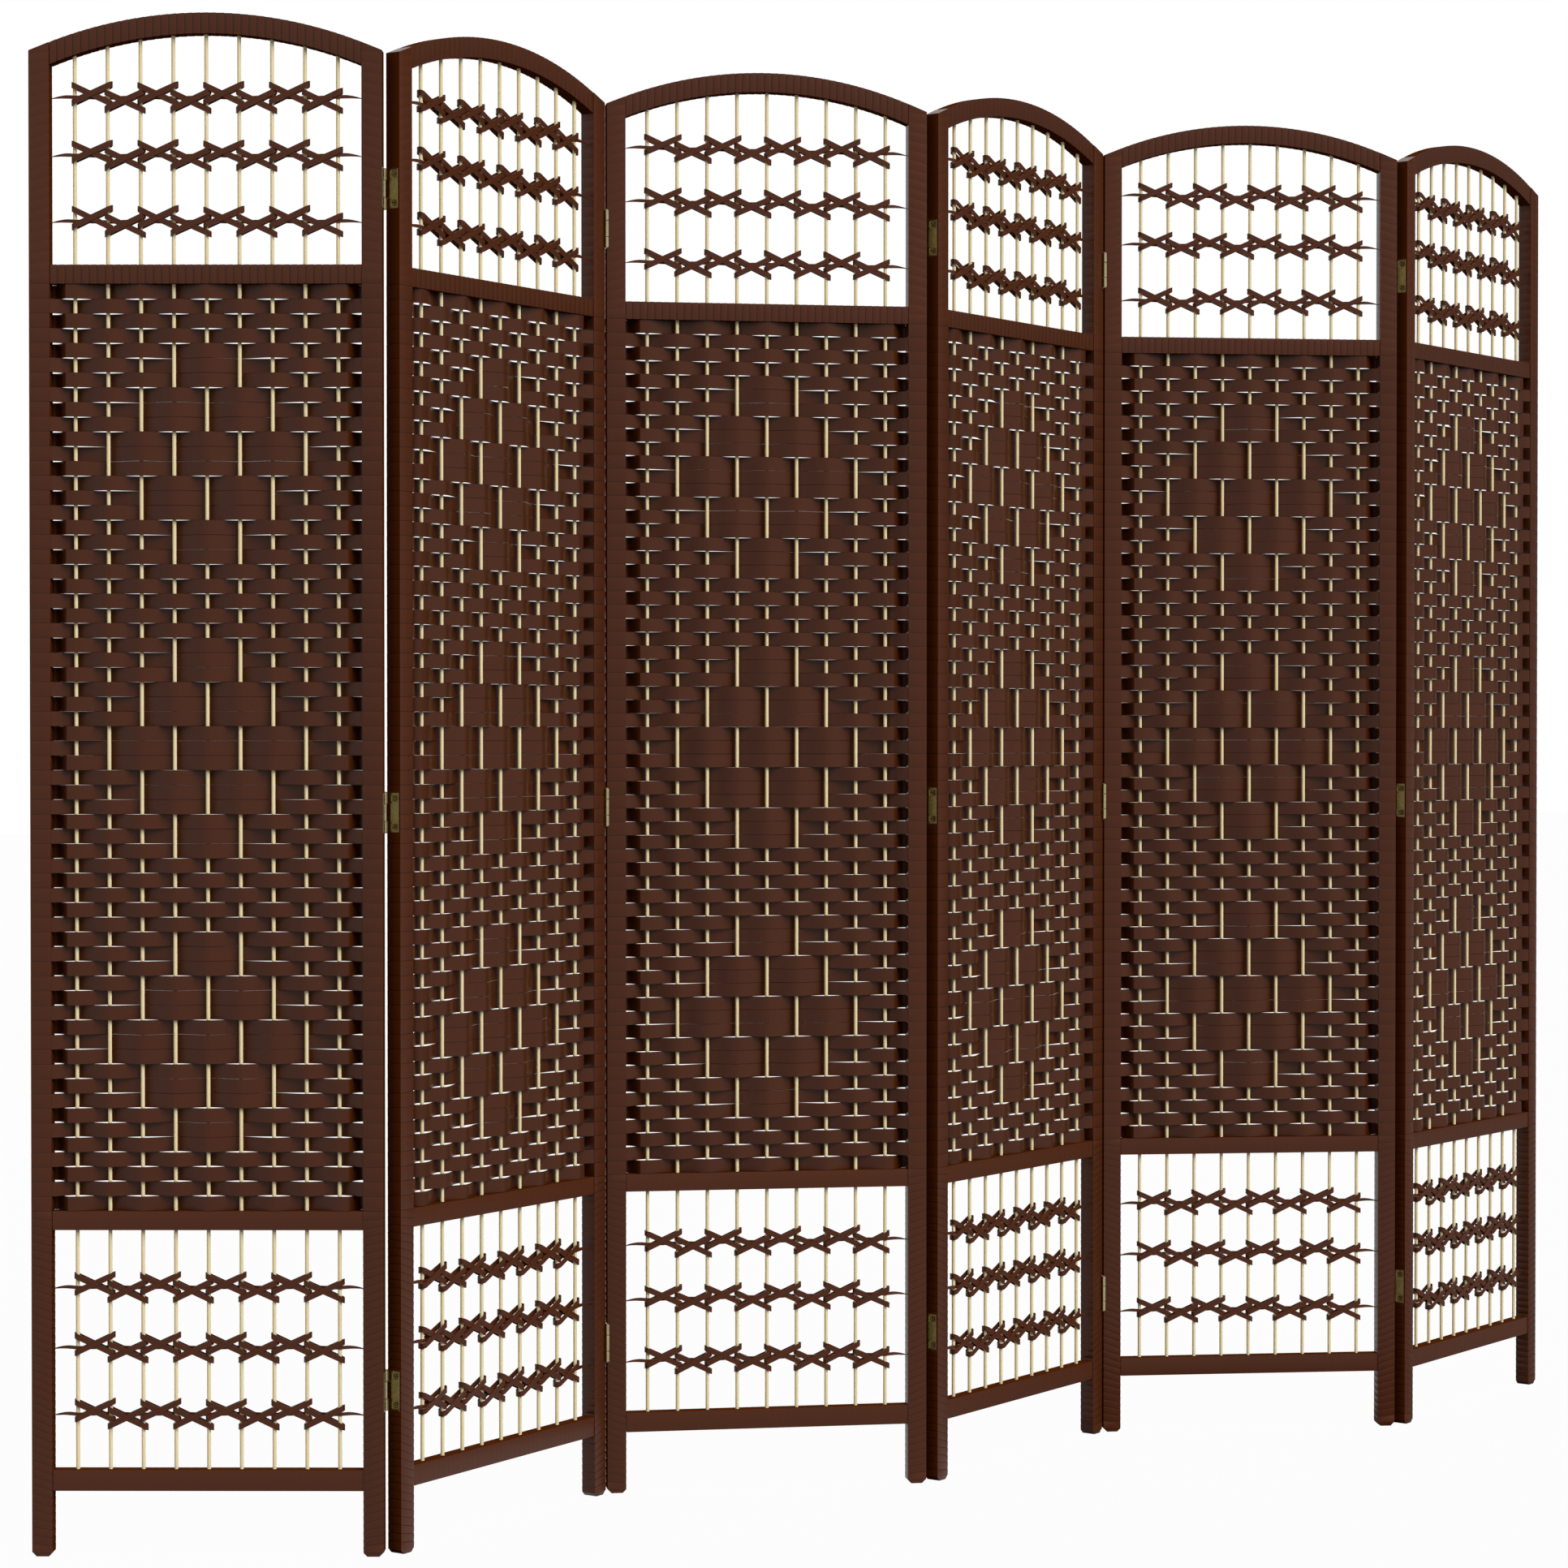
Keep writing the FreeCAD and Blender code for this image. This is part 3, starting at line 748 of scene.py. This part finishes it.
CORE_SAMPLES = 150
CORE_SEAT = 0.5 * MM
CORE_WIDTH = 4.0 * MM
CORE_THICKNESS = 0.5 * MM
CORE_BOW = 2.6 * MM
CORE_TIP = 0.25
CORE_TAPER_START = 0.05
CORE_TAPER_LENGTH = 0.60
CORE_TAPER_POWER = 0.7
CORE_RISE = 1.3 * MM
CORE_DROP = 1.6 * MM
CORE_TWIST = 70


def loop_plan(left_rod, right_rod, nesting):
    """Plan points of a loop round two rods, front run first, deeper on its left than on its right."""
    left_depth = LOOP_LEFT_DEPTH - nesting
    right_depth = LOOP_RIGHT_DEPTH - nesting
    left_bend = left_depth * LOOP_LEFT_FLATNESS
    left_centre = left_rod - LOOP_LEFT_REACH + left_bend
    right_centre = right_rod + LOOP_RIGHT_REACH - right_depth
    run = np.linspace(0, 1, LOOP_RUN_SAMPLES, endpoint=False)
    bend = np.linspace(-math.pi / 2, math.pi / 2, LOOP_BEND_SAMPLES, endpoint=False)
    across = (
        left_centre + (right_centre - left_centre) * run,
        right_centre + right_depth * np.cos(bend),
        right_centre + (left_centre - right_centre) * run,
        left_centre - left_bend * np.cos(bend),
    )
    depths = (
        -left_depth + (left_depth - right_depth) * run,
        right_depth * np.sin(bend),
        right_depth + (left_depth - right_depth) * run,
        -left_depth * np.sin(bend),
    )
    return np.concatenate(across), np.concatenate(depths)


def add_loop(shape, left_rod, right_rod, level, slope, nesting):
    """One slanting ribbon loop round two rods."""
    across, depths = loop_plan(left_rod, right_rod, nesting)
    middle = (left_rod + right_rod) / 2
    heights = level + slope * (across - middle)
    path = np.column_stack((across, MID_DEPTH + depths, heights))
    tangent = unit(np.roll(path, -1, axis=0) - np.roll(path, 1, axis=0))
    outward = unit(np.cross(tangent, UP))
    width_way = np.cross(outward, tangent)
    shape.add_rings(ribbon_rings(path, width_way, outward, LOOP_WIDTH, LOOP_THICKNESS), closed=True)


def add_core(shape, level):
    """A narrow ribbon before and behind the rods in turn, twisted to a narrow tip at both stiles."""
    low, high = STILE_WIDTH - CORE_SEAT, PANEL_WIDTH - STILE_WIDTH + CORE_SEAT
    across = np.linspace(low, high, CORE_SAMPLES)
    from_stile = np.minimum(across - low, high - across)
    share = np.clip(from_stile / (ROD_PLACES[0] - low), 0, 1)
    turn = (across - ROD_PLACES[0]) / ROD_PITCH
    depths = MID_DEPTH - CORE_BOW * np.cos(np.pi * turn) * share
    taper = np.clip((share - CORE_TAPER_START) / CORE_TAPER_LENGTH, 0, 1) ** CORE_TAPER_POWER
    widths = CORE_WIDTH * (CORE_TIP + (1 - CORE_TIP) * taper)
    lift = np.where(share < 1, np.sin(np.pi * share) * CORE_RISE - (1 - share) * CORE_DROP, 0)
    path = np.column_stack((across, depths, level + lift))
    twist = (1 - share) ** 2 * math.radians(CORE_TWIST)
    no_x = np.zeros(len(across))
    width_way = np.column_stack((no_x, np.sin(twist), np.cos(twist)))
    thick_way = np.column_stack((no_x, np.cos(twist), -np.sin(twist)))
    shape.add_rings(ribbon_rings(path, width_way, thick_way, widths, CORE_THICKNESS))


def make_braids(number):
    """Rows of braid: two crossed loops in every gap between rods, higher and lower in turn, and a core."""
    shape = Shape(piece_seed(number, "braids"))
    for level in BRAID_LEVELS:
        for bay in range(ROD_COUNT - 1):
            stagger = LOOP_STAGGER if bay % 2 == 0 else -LOOP_STAGGER
            ends = ROD_PLACES[bay], ROD_PLACES[bay + 1]
            slope = LOOP_SLOPE * shape.random.uniform(*LOOP_SLOPE_SPREAD)
            add_loop(shape, *ends, level + stagger, -slope, LOOP_NESTING)
            add_loop(shape, *ends, level + stagger, slope, 0.0)
        add_core(shape, level)
    braids = shape.build(f"panel_{number}_braid_loops", number, RIBBON_FIBRE)
    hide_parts(f"panel_{number}_braids")


# Hinges: bevelled brass leaves with round knuckles, countersunk screws and pins with domed ends

OUTER_LEAF_SEED = 1000
INNER_LEAF_SEED = 2000
LEAF_THICKNESS = 1.2 * MM
LEAF_MARGIN = 1.7 * MM
LEAF_BEVEL = 0.5 * MM
KNUCKLE_CUTBACK = 4.2 * MM
OUTER_KNUCKLE = 12.8 * MM
KNUCKLE_GAP = 0.3 * MM
KNUCKLE_ROUNDING = 0.4 * MM
BARREL_RADIUS = 2.85 * MM
LATHE_SIDES = 24

# The pin, the radius of its heads, and their dome as (share of that radius, height) points
PIN_RADIUS = 1.5 * MM
PIN_HEAD = 2.2 * MM
PIN_DOME = ((1.0, 0.0), (1.0, 0.3 * MM), (0.78, 0.8 * MM), (0.36, 1.05 * MM))

SINK_RADIUS = 3.4 * MM
SINK_BOX = 1.15 * SINK_RADIUS
SINK_DEPTH = 0.5 * MM
SINK_SIDES = 16
SINK_START = -135
# How strongly the floor of a sink is darkened with painted shade
SINK_SHADE = 0.5

# The screws' places on a leaf, and their heads, with steps from root to crown as (share of the outline, depth
# below the leaf's face)
SCREW_INSET = 6.6 * MM
SCREW_DEPTH = 10.8 * MM
SCREW_RADIUS = 2.6 * MM
SCREW_SLOT = 0.45 * MM
SCREW_ARC_POINTS = 7
SCREW_STEPS = ((1.0, SINK_DEPTH + 0.2 * MM), (1.0, 0.15 * MM), (0.85, 0.03 * MM))


def hinge_place(fold, number):
    """The pin's axis on a panel, with the panels on its -Y side: half a turn round for a pin in front."""
    axis = box_middle(in_panel(f"fold_{fold}_pins", number))
    half_turn = Matrix.Rotation(0 if fold % 2 else math.pi, 4, "Z")
    return PLACES[number] @ Matrix.Translation((axis[0], axis[1], 0)) @ half_turn


def add_lathe(shape, profile):
    """A round body about the pin's axis through (radius, height) points."""
    outline = circle(LATHE_SIDES)
    shape.add_rings([outline * radius + (0, 0, height) for radius, height in profile])


def sink_rings(face, inward, depth, height):
    """Points round the rim and round the floor of a screw's sink, and their groove values: painted shade on
    the floor.
    """
    points = []
    grooves = []
    for radius, sunk, groove in ((SINK_RADIUS, 0.0, 0.0), (SCREW_RADIUS, SINK_DEPTH, SINK_SHADE)):
        for step in range(SINK_SIDES):
            angle = math.radians(SINK_START + 360 * step / SINK_SIDES)
            across, up = radius * math.cos(angle), radius * math.sin(angle)
            points.append((face + inward * sunk, depth + across, height + up))
            grooves.append(groove)
    return points, grooves


def sink_faces(box, rim):
    """Faces from a box's four corners to the rim of a sink, down its cone and over its floor."""
    quarter = SINK_SIDES // 4
    floor = rim + SINK_SIDES
    faces = []
    for side in range(4):
        arc = [rim + (side * quarter + step) % SINK_SIDES for step in range(quarter + 1)]
        faces.append((box[(side + 1) % 4], box[side], *arc))
    for step in range(SINK_SIDES):
        after = (step + 1) % SINK_SIDES
        faces.append((rim + step, rim + after, floor + after, floor + step))
    faces.append(tuple(range(floor, floor + SINK_SIDES)))
    return faces


def add_plate(shape, face, back, depths, heights, holes):
    """A plate with a bevelled face that is sunk in a cone round each hole (depth, height).

    The face is a ladder of boxes from the plate's foot to its head, with a sink in every second one.
    """
    inward = math.copysign(1, back - face)
    near, far = depths
    foot, head = heights
    corners = ((near, foot), (far, foot), (far, head), (near, head))
    points = [(back, *corner) for corner in corners]
    points += [(face + inward * LEAF_BEVEL, *corner) for corner in corners]
    faces = [(0, 1, 2, 3)]
    faces += [(side, (side + 1) % 4, (side + 1) % 4 + 4, side + 4) for side in range(4)]
    levels = [foot + LEAF_BEVEL]
    for _, height in holes:
        levels += [height - SINK_BOX, height + SINK_BOX]
    levels.append(head - LEAF_BEVEL)
    lefts = [len(points) + 2 * index for index in range(len(levels))]
    rights = [left + 1 for left in lefts]
    for level in levels:
        points += [(face, near + LEAF_BEVEL, level), (face, far - LEAF_BEVEL, level)]
    faces += [(4, 5, rights[0], lefts[0]), (lefts[-1], rights[-1], 6, 7)]
    faces += [(5, 6, *reversed(rights)), (7, 4, *lefts)]
    grooves = [0.0] * len(points)
    for index in range(len(levels) - 1):
        box = (lefts[index], rights[index], rights[index + 1], lefts[index + 1])
        if index % 2 == 0:
            faces.append(box)
            continue
        faces += sink_faces(box, len(points))
        sink_points, sink_grooves = sink_rings(face, inward, *holes[index // 2])
        points += sink_points
        grooves += sink_grooves
    shape.add(points, faces, grooves)


def add_screw_head(shape, face, inward, depth, height):
    """A flat head just below the plate's face: four quarters, with the cross of its recess between them."""
    turn = shape.random.uniform(0, math.pi)
    start = math.asin(SCREW_SLOT / SCREW_RADIUS)
    arc = np.linspace(start, math.pi / 2 - start, SCREW_ARC_POINTS)
    rim = SCREW_RADIUS * np.column_stack((np.cos(arc), np.sin(arc)))
    outline = np.vstack((rim, (SCREW_SLOT, SCREW_SLOT)))
    middle = outline.mean(axis=0)
    for quarter in range(4):
        angle = turn + quarter * math.pi / 2
        swing = np.array(((math.cos(angle), math.sin(angle)), (-math.sin(angle), math.cos(angle))))
        rings = []
        for share, sunk in SCREW_STEPS:
            points = (middle + (outline - middle) * share) @ swing + (depth, height)
            rings.append(np.column_stack((np.full(len(points), face + inward * sunk), points)))
        shape.add_rings(rings)


def add_leaf(shape, side, low, high, knuckles):
    """One leaf on a stile's edge, with a tab and a barrel for each knuckle (base, top)."""
    face, back = side * (EDGE_HALF_GAP - LEAF_THICKNESS), side * EDGE_HALF_GAP
    plate_end = -(PIN_OFFSET + KNUCKLE_CUTBACK)
    plate_start = -(PIN_OFFSET + STILE_DEPTH - LEAF_MARGIN)
    screw_depth = -(PIN_OFFSET + SCREW_DEPTH)
    holes = [(screw_depth, low + SCREW_INSET), (screw_depth, high - SCREW_INSET)]
    add_plate(shape, face, back, (plate_start, plate_end), (low, high), holes)
    for depth, height in holes:
        add_screw_head(shape, face, side, depth, height)
    tab_start, tab_end = plate_end - LEAF_BEVEL, -PIN_RADIUS
    end_radius = BARREL_RADIUS - KNUCKLE_ROUNDING
    for base, top in knuckles:
        tab = ((tab_start, base), (tab_end, base), (tab_end, top), (tab_start, top))
        shape.add_rings([[(x, *corner) for corner in tab] for x in (face, back)])
        barrel = (
            (end_radius, base),
            (BARREL_RADIUS, base + KNUCKLE_ROUNDING),
            (BARREL_RADIUS, top - KNUCKLE_ROUNDING),
            (end_radius, top),
        )
        add_lathe(shape, barrel)


def add_pin(shape, low, high):
    """A pin through the knuckles of one hinge, with a domed head at both ends."""
    below = [(share * PIN_HEAD, low - rise) for share, rise in reversed(PIN_DOME)]
    above = [(share * PIN_HEAD, high + rise) for share, rise in PIN_DOME]
    add_lathe(shape, below + [(PIN_RADIUS, low), (PIN_RADIUS, high)] + above)


def make_fold(fold):
    """Three hinges up a fold.

    The leaves with the two end knuckles are on the right panel where the pins are behind the screen, and on
    the left panel where they are in front.
    """
    behind = fold % 2 == 1
    outer_number, inner_number = (fold + 1, fold) if behind else (fold, fold + 1)
    outer_word, inner_word = ("right", "left") if behind else ("left", "right")
    outer, inner = Shape(OUTER_LEAF_SEED + fold), Shape(INNER_LEAF_SEED + fold)
    for low, high in HINGE_LEVELS:
        add_leaf(outer, 1, low, high, ((low, low + OUTER_KNUCKLE), (high - OUTER_KNUCKLE, high)))
        add_pin(outer, low, high)
        middle = (low + OUTER_KNUCKLE + KNUCKLE_GAP, high - OUTER_KNUCKLE - KNUCKLE_GAP)
        add_leaf(inner, -1, low, high, (middle,))
    outer_place, inner_place = hinge_place(fold, outer_number), hinge_place(fold, inner_number)
    outer_leaves = outer.build(f"fold_{fold}_outer_leaves_and_pins", outer_number, BRASS, place=outer_place)
    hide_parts(f"fold_{fold}_{outer_word}_leaves", f"fold_{fold}_pins")
    inner_leaves = inner.build(f"fold_{fold}_inner_leaves", inner_number, BRASS, place=inner_place)
    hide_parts(f"fold_{fold}_{inner_word}_leaves")


for panel in PANELS:
    make_stile(panel, "left")
    make_stile(panel, "right")
    make_rails(panel)
    make_rods(panel)
    make_weave(panel)
    make_braids(panel)
for fold_number in FOLDS:
    make_fold(fold_number)


# Floor, light and camera

FLOOR_REACH = 30.0
FLOOR_COLOUR = (0.2, 0.2, 0.2)
FLOOR_ROUGHNESS = 0.9
FLOOR_GLOW = 0.97
FLOOR_IN_MIRRORS = 0.9

# The dim far right of the studio in mirrors: its colour, and how far right a level direction is where it is
# dimmest and where it is bright again
DIM_RIGHT = (0.12, 0.12, 0.12)
RIGHT_DIM = 0.98
RIGHT_BRIGHT = 0.85
AMBIENT = (0.36, 0.34, 0.32)

# Soft suns: strength, azimuth and height above the floor in degrees
SUNS = {
    "key": (3.75, -72, 36),
    "from_behind": (1.6, 65, 40),
    "from_the_left": (0.35, 190, 30),
}
SUN_SOFTNESS = 45

CAMERA_PLACE = (-2.46224, -3.94898, 0.93775)
CAMERA_HEADING = -29.975
CAMERA_PITCH = -0.753
CAMERA_LENS = 83.97
CAMERA_SENSOR = 36


def background_rays(shading):
    """Rays straight from the camera, and rays that are mirrored or refracted."""
    rays = shading.nodes.new("ShaderNodeLightPath").outputs
    mirrored = shading.combined("MAXIMUM", rays["Is Glossy Ray"], rays["Is Transmission Ray"])
    return rays["Is Camera Ray"], mirrored


def mirrored_light(shading, coordinates, brightest=1.0):
    """How bright the studio looks in a mirror: white all round, but dim to the far right of the screen."""
    place = shading.nodes.new("ShaderNodeTexCoord")
    level = shading.nodes.new("ShaderNodeVectorMath")
    level.operation = "MULTIPLY"
    level.inputs[1].default_value = (1, 1, 0)
    shading.link(place.outputs[coordinates], level.inputs[0])
    direction = shading.nodes.new("ShaderNodeVectorMath")
    direction.operation = "NORMALIZE"
    shading.link(level.outputs["Vector"], direction.inputs[0])
    parts = shading.nodes.new("ShaderNodeSeparateXYZ")
    shading.link(direction.outputs["Vector"], parts.inputs["Vector"])
    bright = shading.nodes.new("ShaderNodeMapRange")
    bright.inputs["From Min"].default_value = RIGHT_DIM
    bright.inputs["From Max"].default_value = RIGHT_BRIGHT
    bright.inputs["To Max"].default_value = brightest
    shading.link(parts.outputs["X"], bright.inputs["Value"])
    return bright.outputs["Result"]


def make_floor():
    """A white floor that keeps a faint shadow of the screen."""
    mesh = bpy.data.meshes.new("floor")
    corners = [(FLOOR_REACH * x, FLOOR_REACH * y, 0) for x, y in ((-1, -1), (1, -1), (1, 1), (-1, 1))]
    mesh.from_pydata(corners, [], [(0, 1, 2, 3)])
    material, shading, shader = new_material("studio_floor")
    shader.inputs["Base Color"].default_value = (*FLOOR_COLOUR, 1)
    shader.inputs["Roughness"].default_value = FLOOR_ROUGHNESS
    glow = shading.nodes.new("ShaderNodeEmission")
    shown = shading.nodes.new("ShaderNodeMixShader")
    straight, mirrored = background_rays(shading)
    studio = mirrored_light(shading, "Object", FLOOR_IN_MIRRORS)
    in_mirrors = shading.combined("MULTIPLY", mirrored, studio)
    seen = shading.combined("MAXIMUM", straight, in_mirrors)
    shading.link(shading.spread(seen, 0.0, FLOOR_GLOW), shown.inputs["Fac"])
    shading.link(shader.outputs["BSDF"], shown.inputs[1])
    shading.link(glow.outputs["Emission"], shown.inputs[2])
    shading.link(shown.outputs["Shader"], shading.nodes["Material Output"].inputs["Surface"])
    mesh.materials.append(material)
    floor = bpy.data.objects.new("floor", mesh)
    bpy.context.scene.collection.objects.link(floor)


def make_world():
    """A dim warm studio. The camera sees it white all round, mirrors see it white but for its far right."""
    world = bpy.data.worlds.new("studio")
    bpy.context.scene.world = world
    shading = Shading(world)
    straight, mirrored = background_rays(shading)
    seen = shading.ramp(straight, AMBIENT, WHITE)
    in_mirrors = shading.ramp(mirrored_light(shading, "Generated"), DIM_RIGHT, WHITE)
    colour = shading.blended("MIX", mirrored, seen, in_mirrors)
    shading.link(colour, shading.nodes["Background"].inputs["Color"])


def make_sun(name, strength, azimuth_degrees, height_degrees):
    """A soft sun that shines from an azimuth and a height above the floor, and leaves no glare of its own."""
    light = bpy.data.lights.new(name, "SUN")
    light.energy = strength
    light.angle = math.radians(SUN_SOFTNESS)
    lamp = bpy.data.objects.new(name, light)
    lamp.visible_glossy = False
    azimuth, height = math.radians(azimuth_degrees), math.radians(height_degrees)
    level = math.cos(height)
    towards = Vector((math.cos(azimuth) * level, math.sin(azimuth) * level, math.sin(height)))
    lamp.rotation_euler = towards.to_track_quat("Z", "Y").to_euler()
    bpy.context.scene.collection.objects.link(lamp)


def make_camera():
    """The photo's viewpoint."""
    lens = bpy.data.cameras.new("camera")
    lens.lens = CAMERA_LENS
    lens.sensor_width = CAMERA_SENSOR
    camera = bpy.data.objects.new("camera", lens)
    camera.location = CAMERA_PLACE
    camera.rotation_euler = (math.radians(90 + CAMERA_PITCH), 0, math.radians(CAMERA_HEADING))
    bpy.context.scene.collection.objects.link(camera)
    bpy.context.scene.camera = camera


make_floor()
make_world()
for sun, setting in SUNS.items():
    make_sun(sun, *setting)
make_camera()
bpy.context.scene.view_settings.view_transform = "Standard"
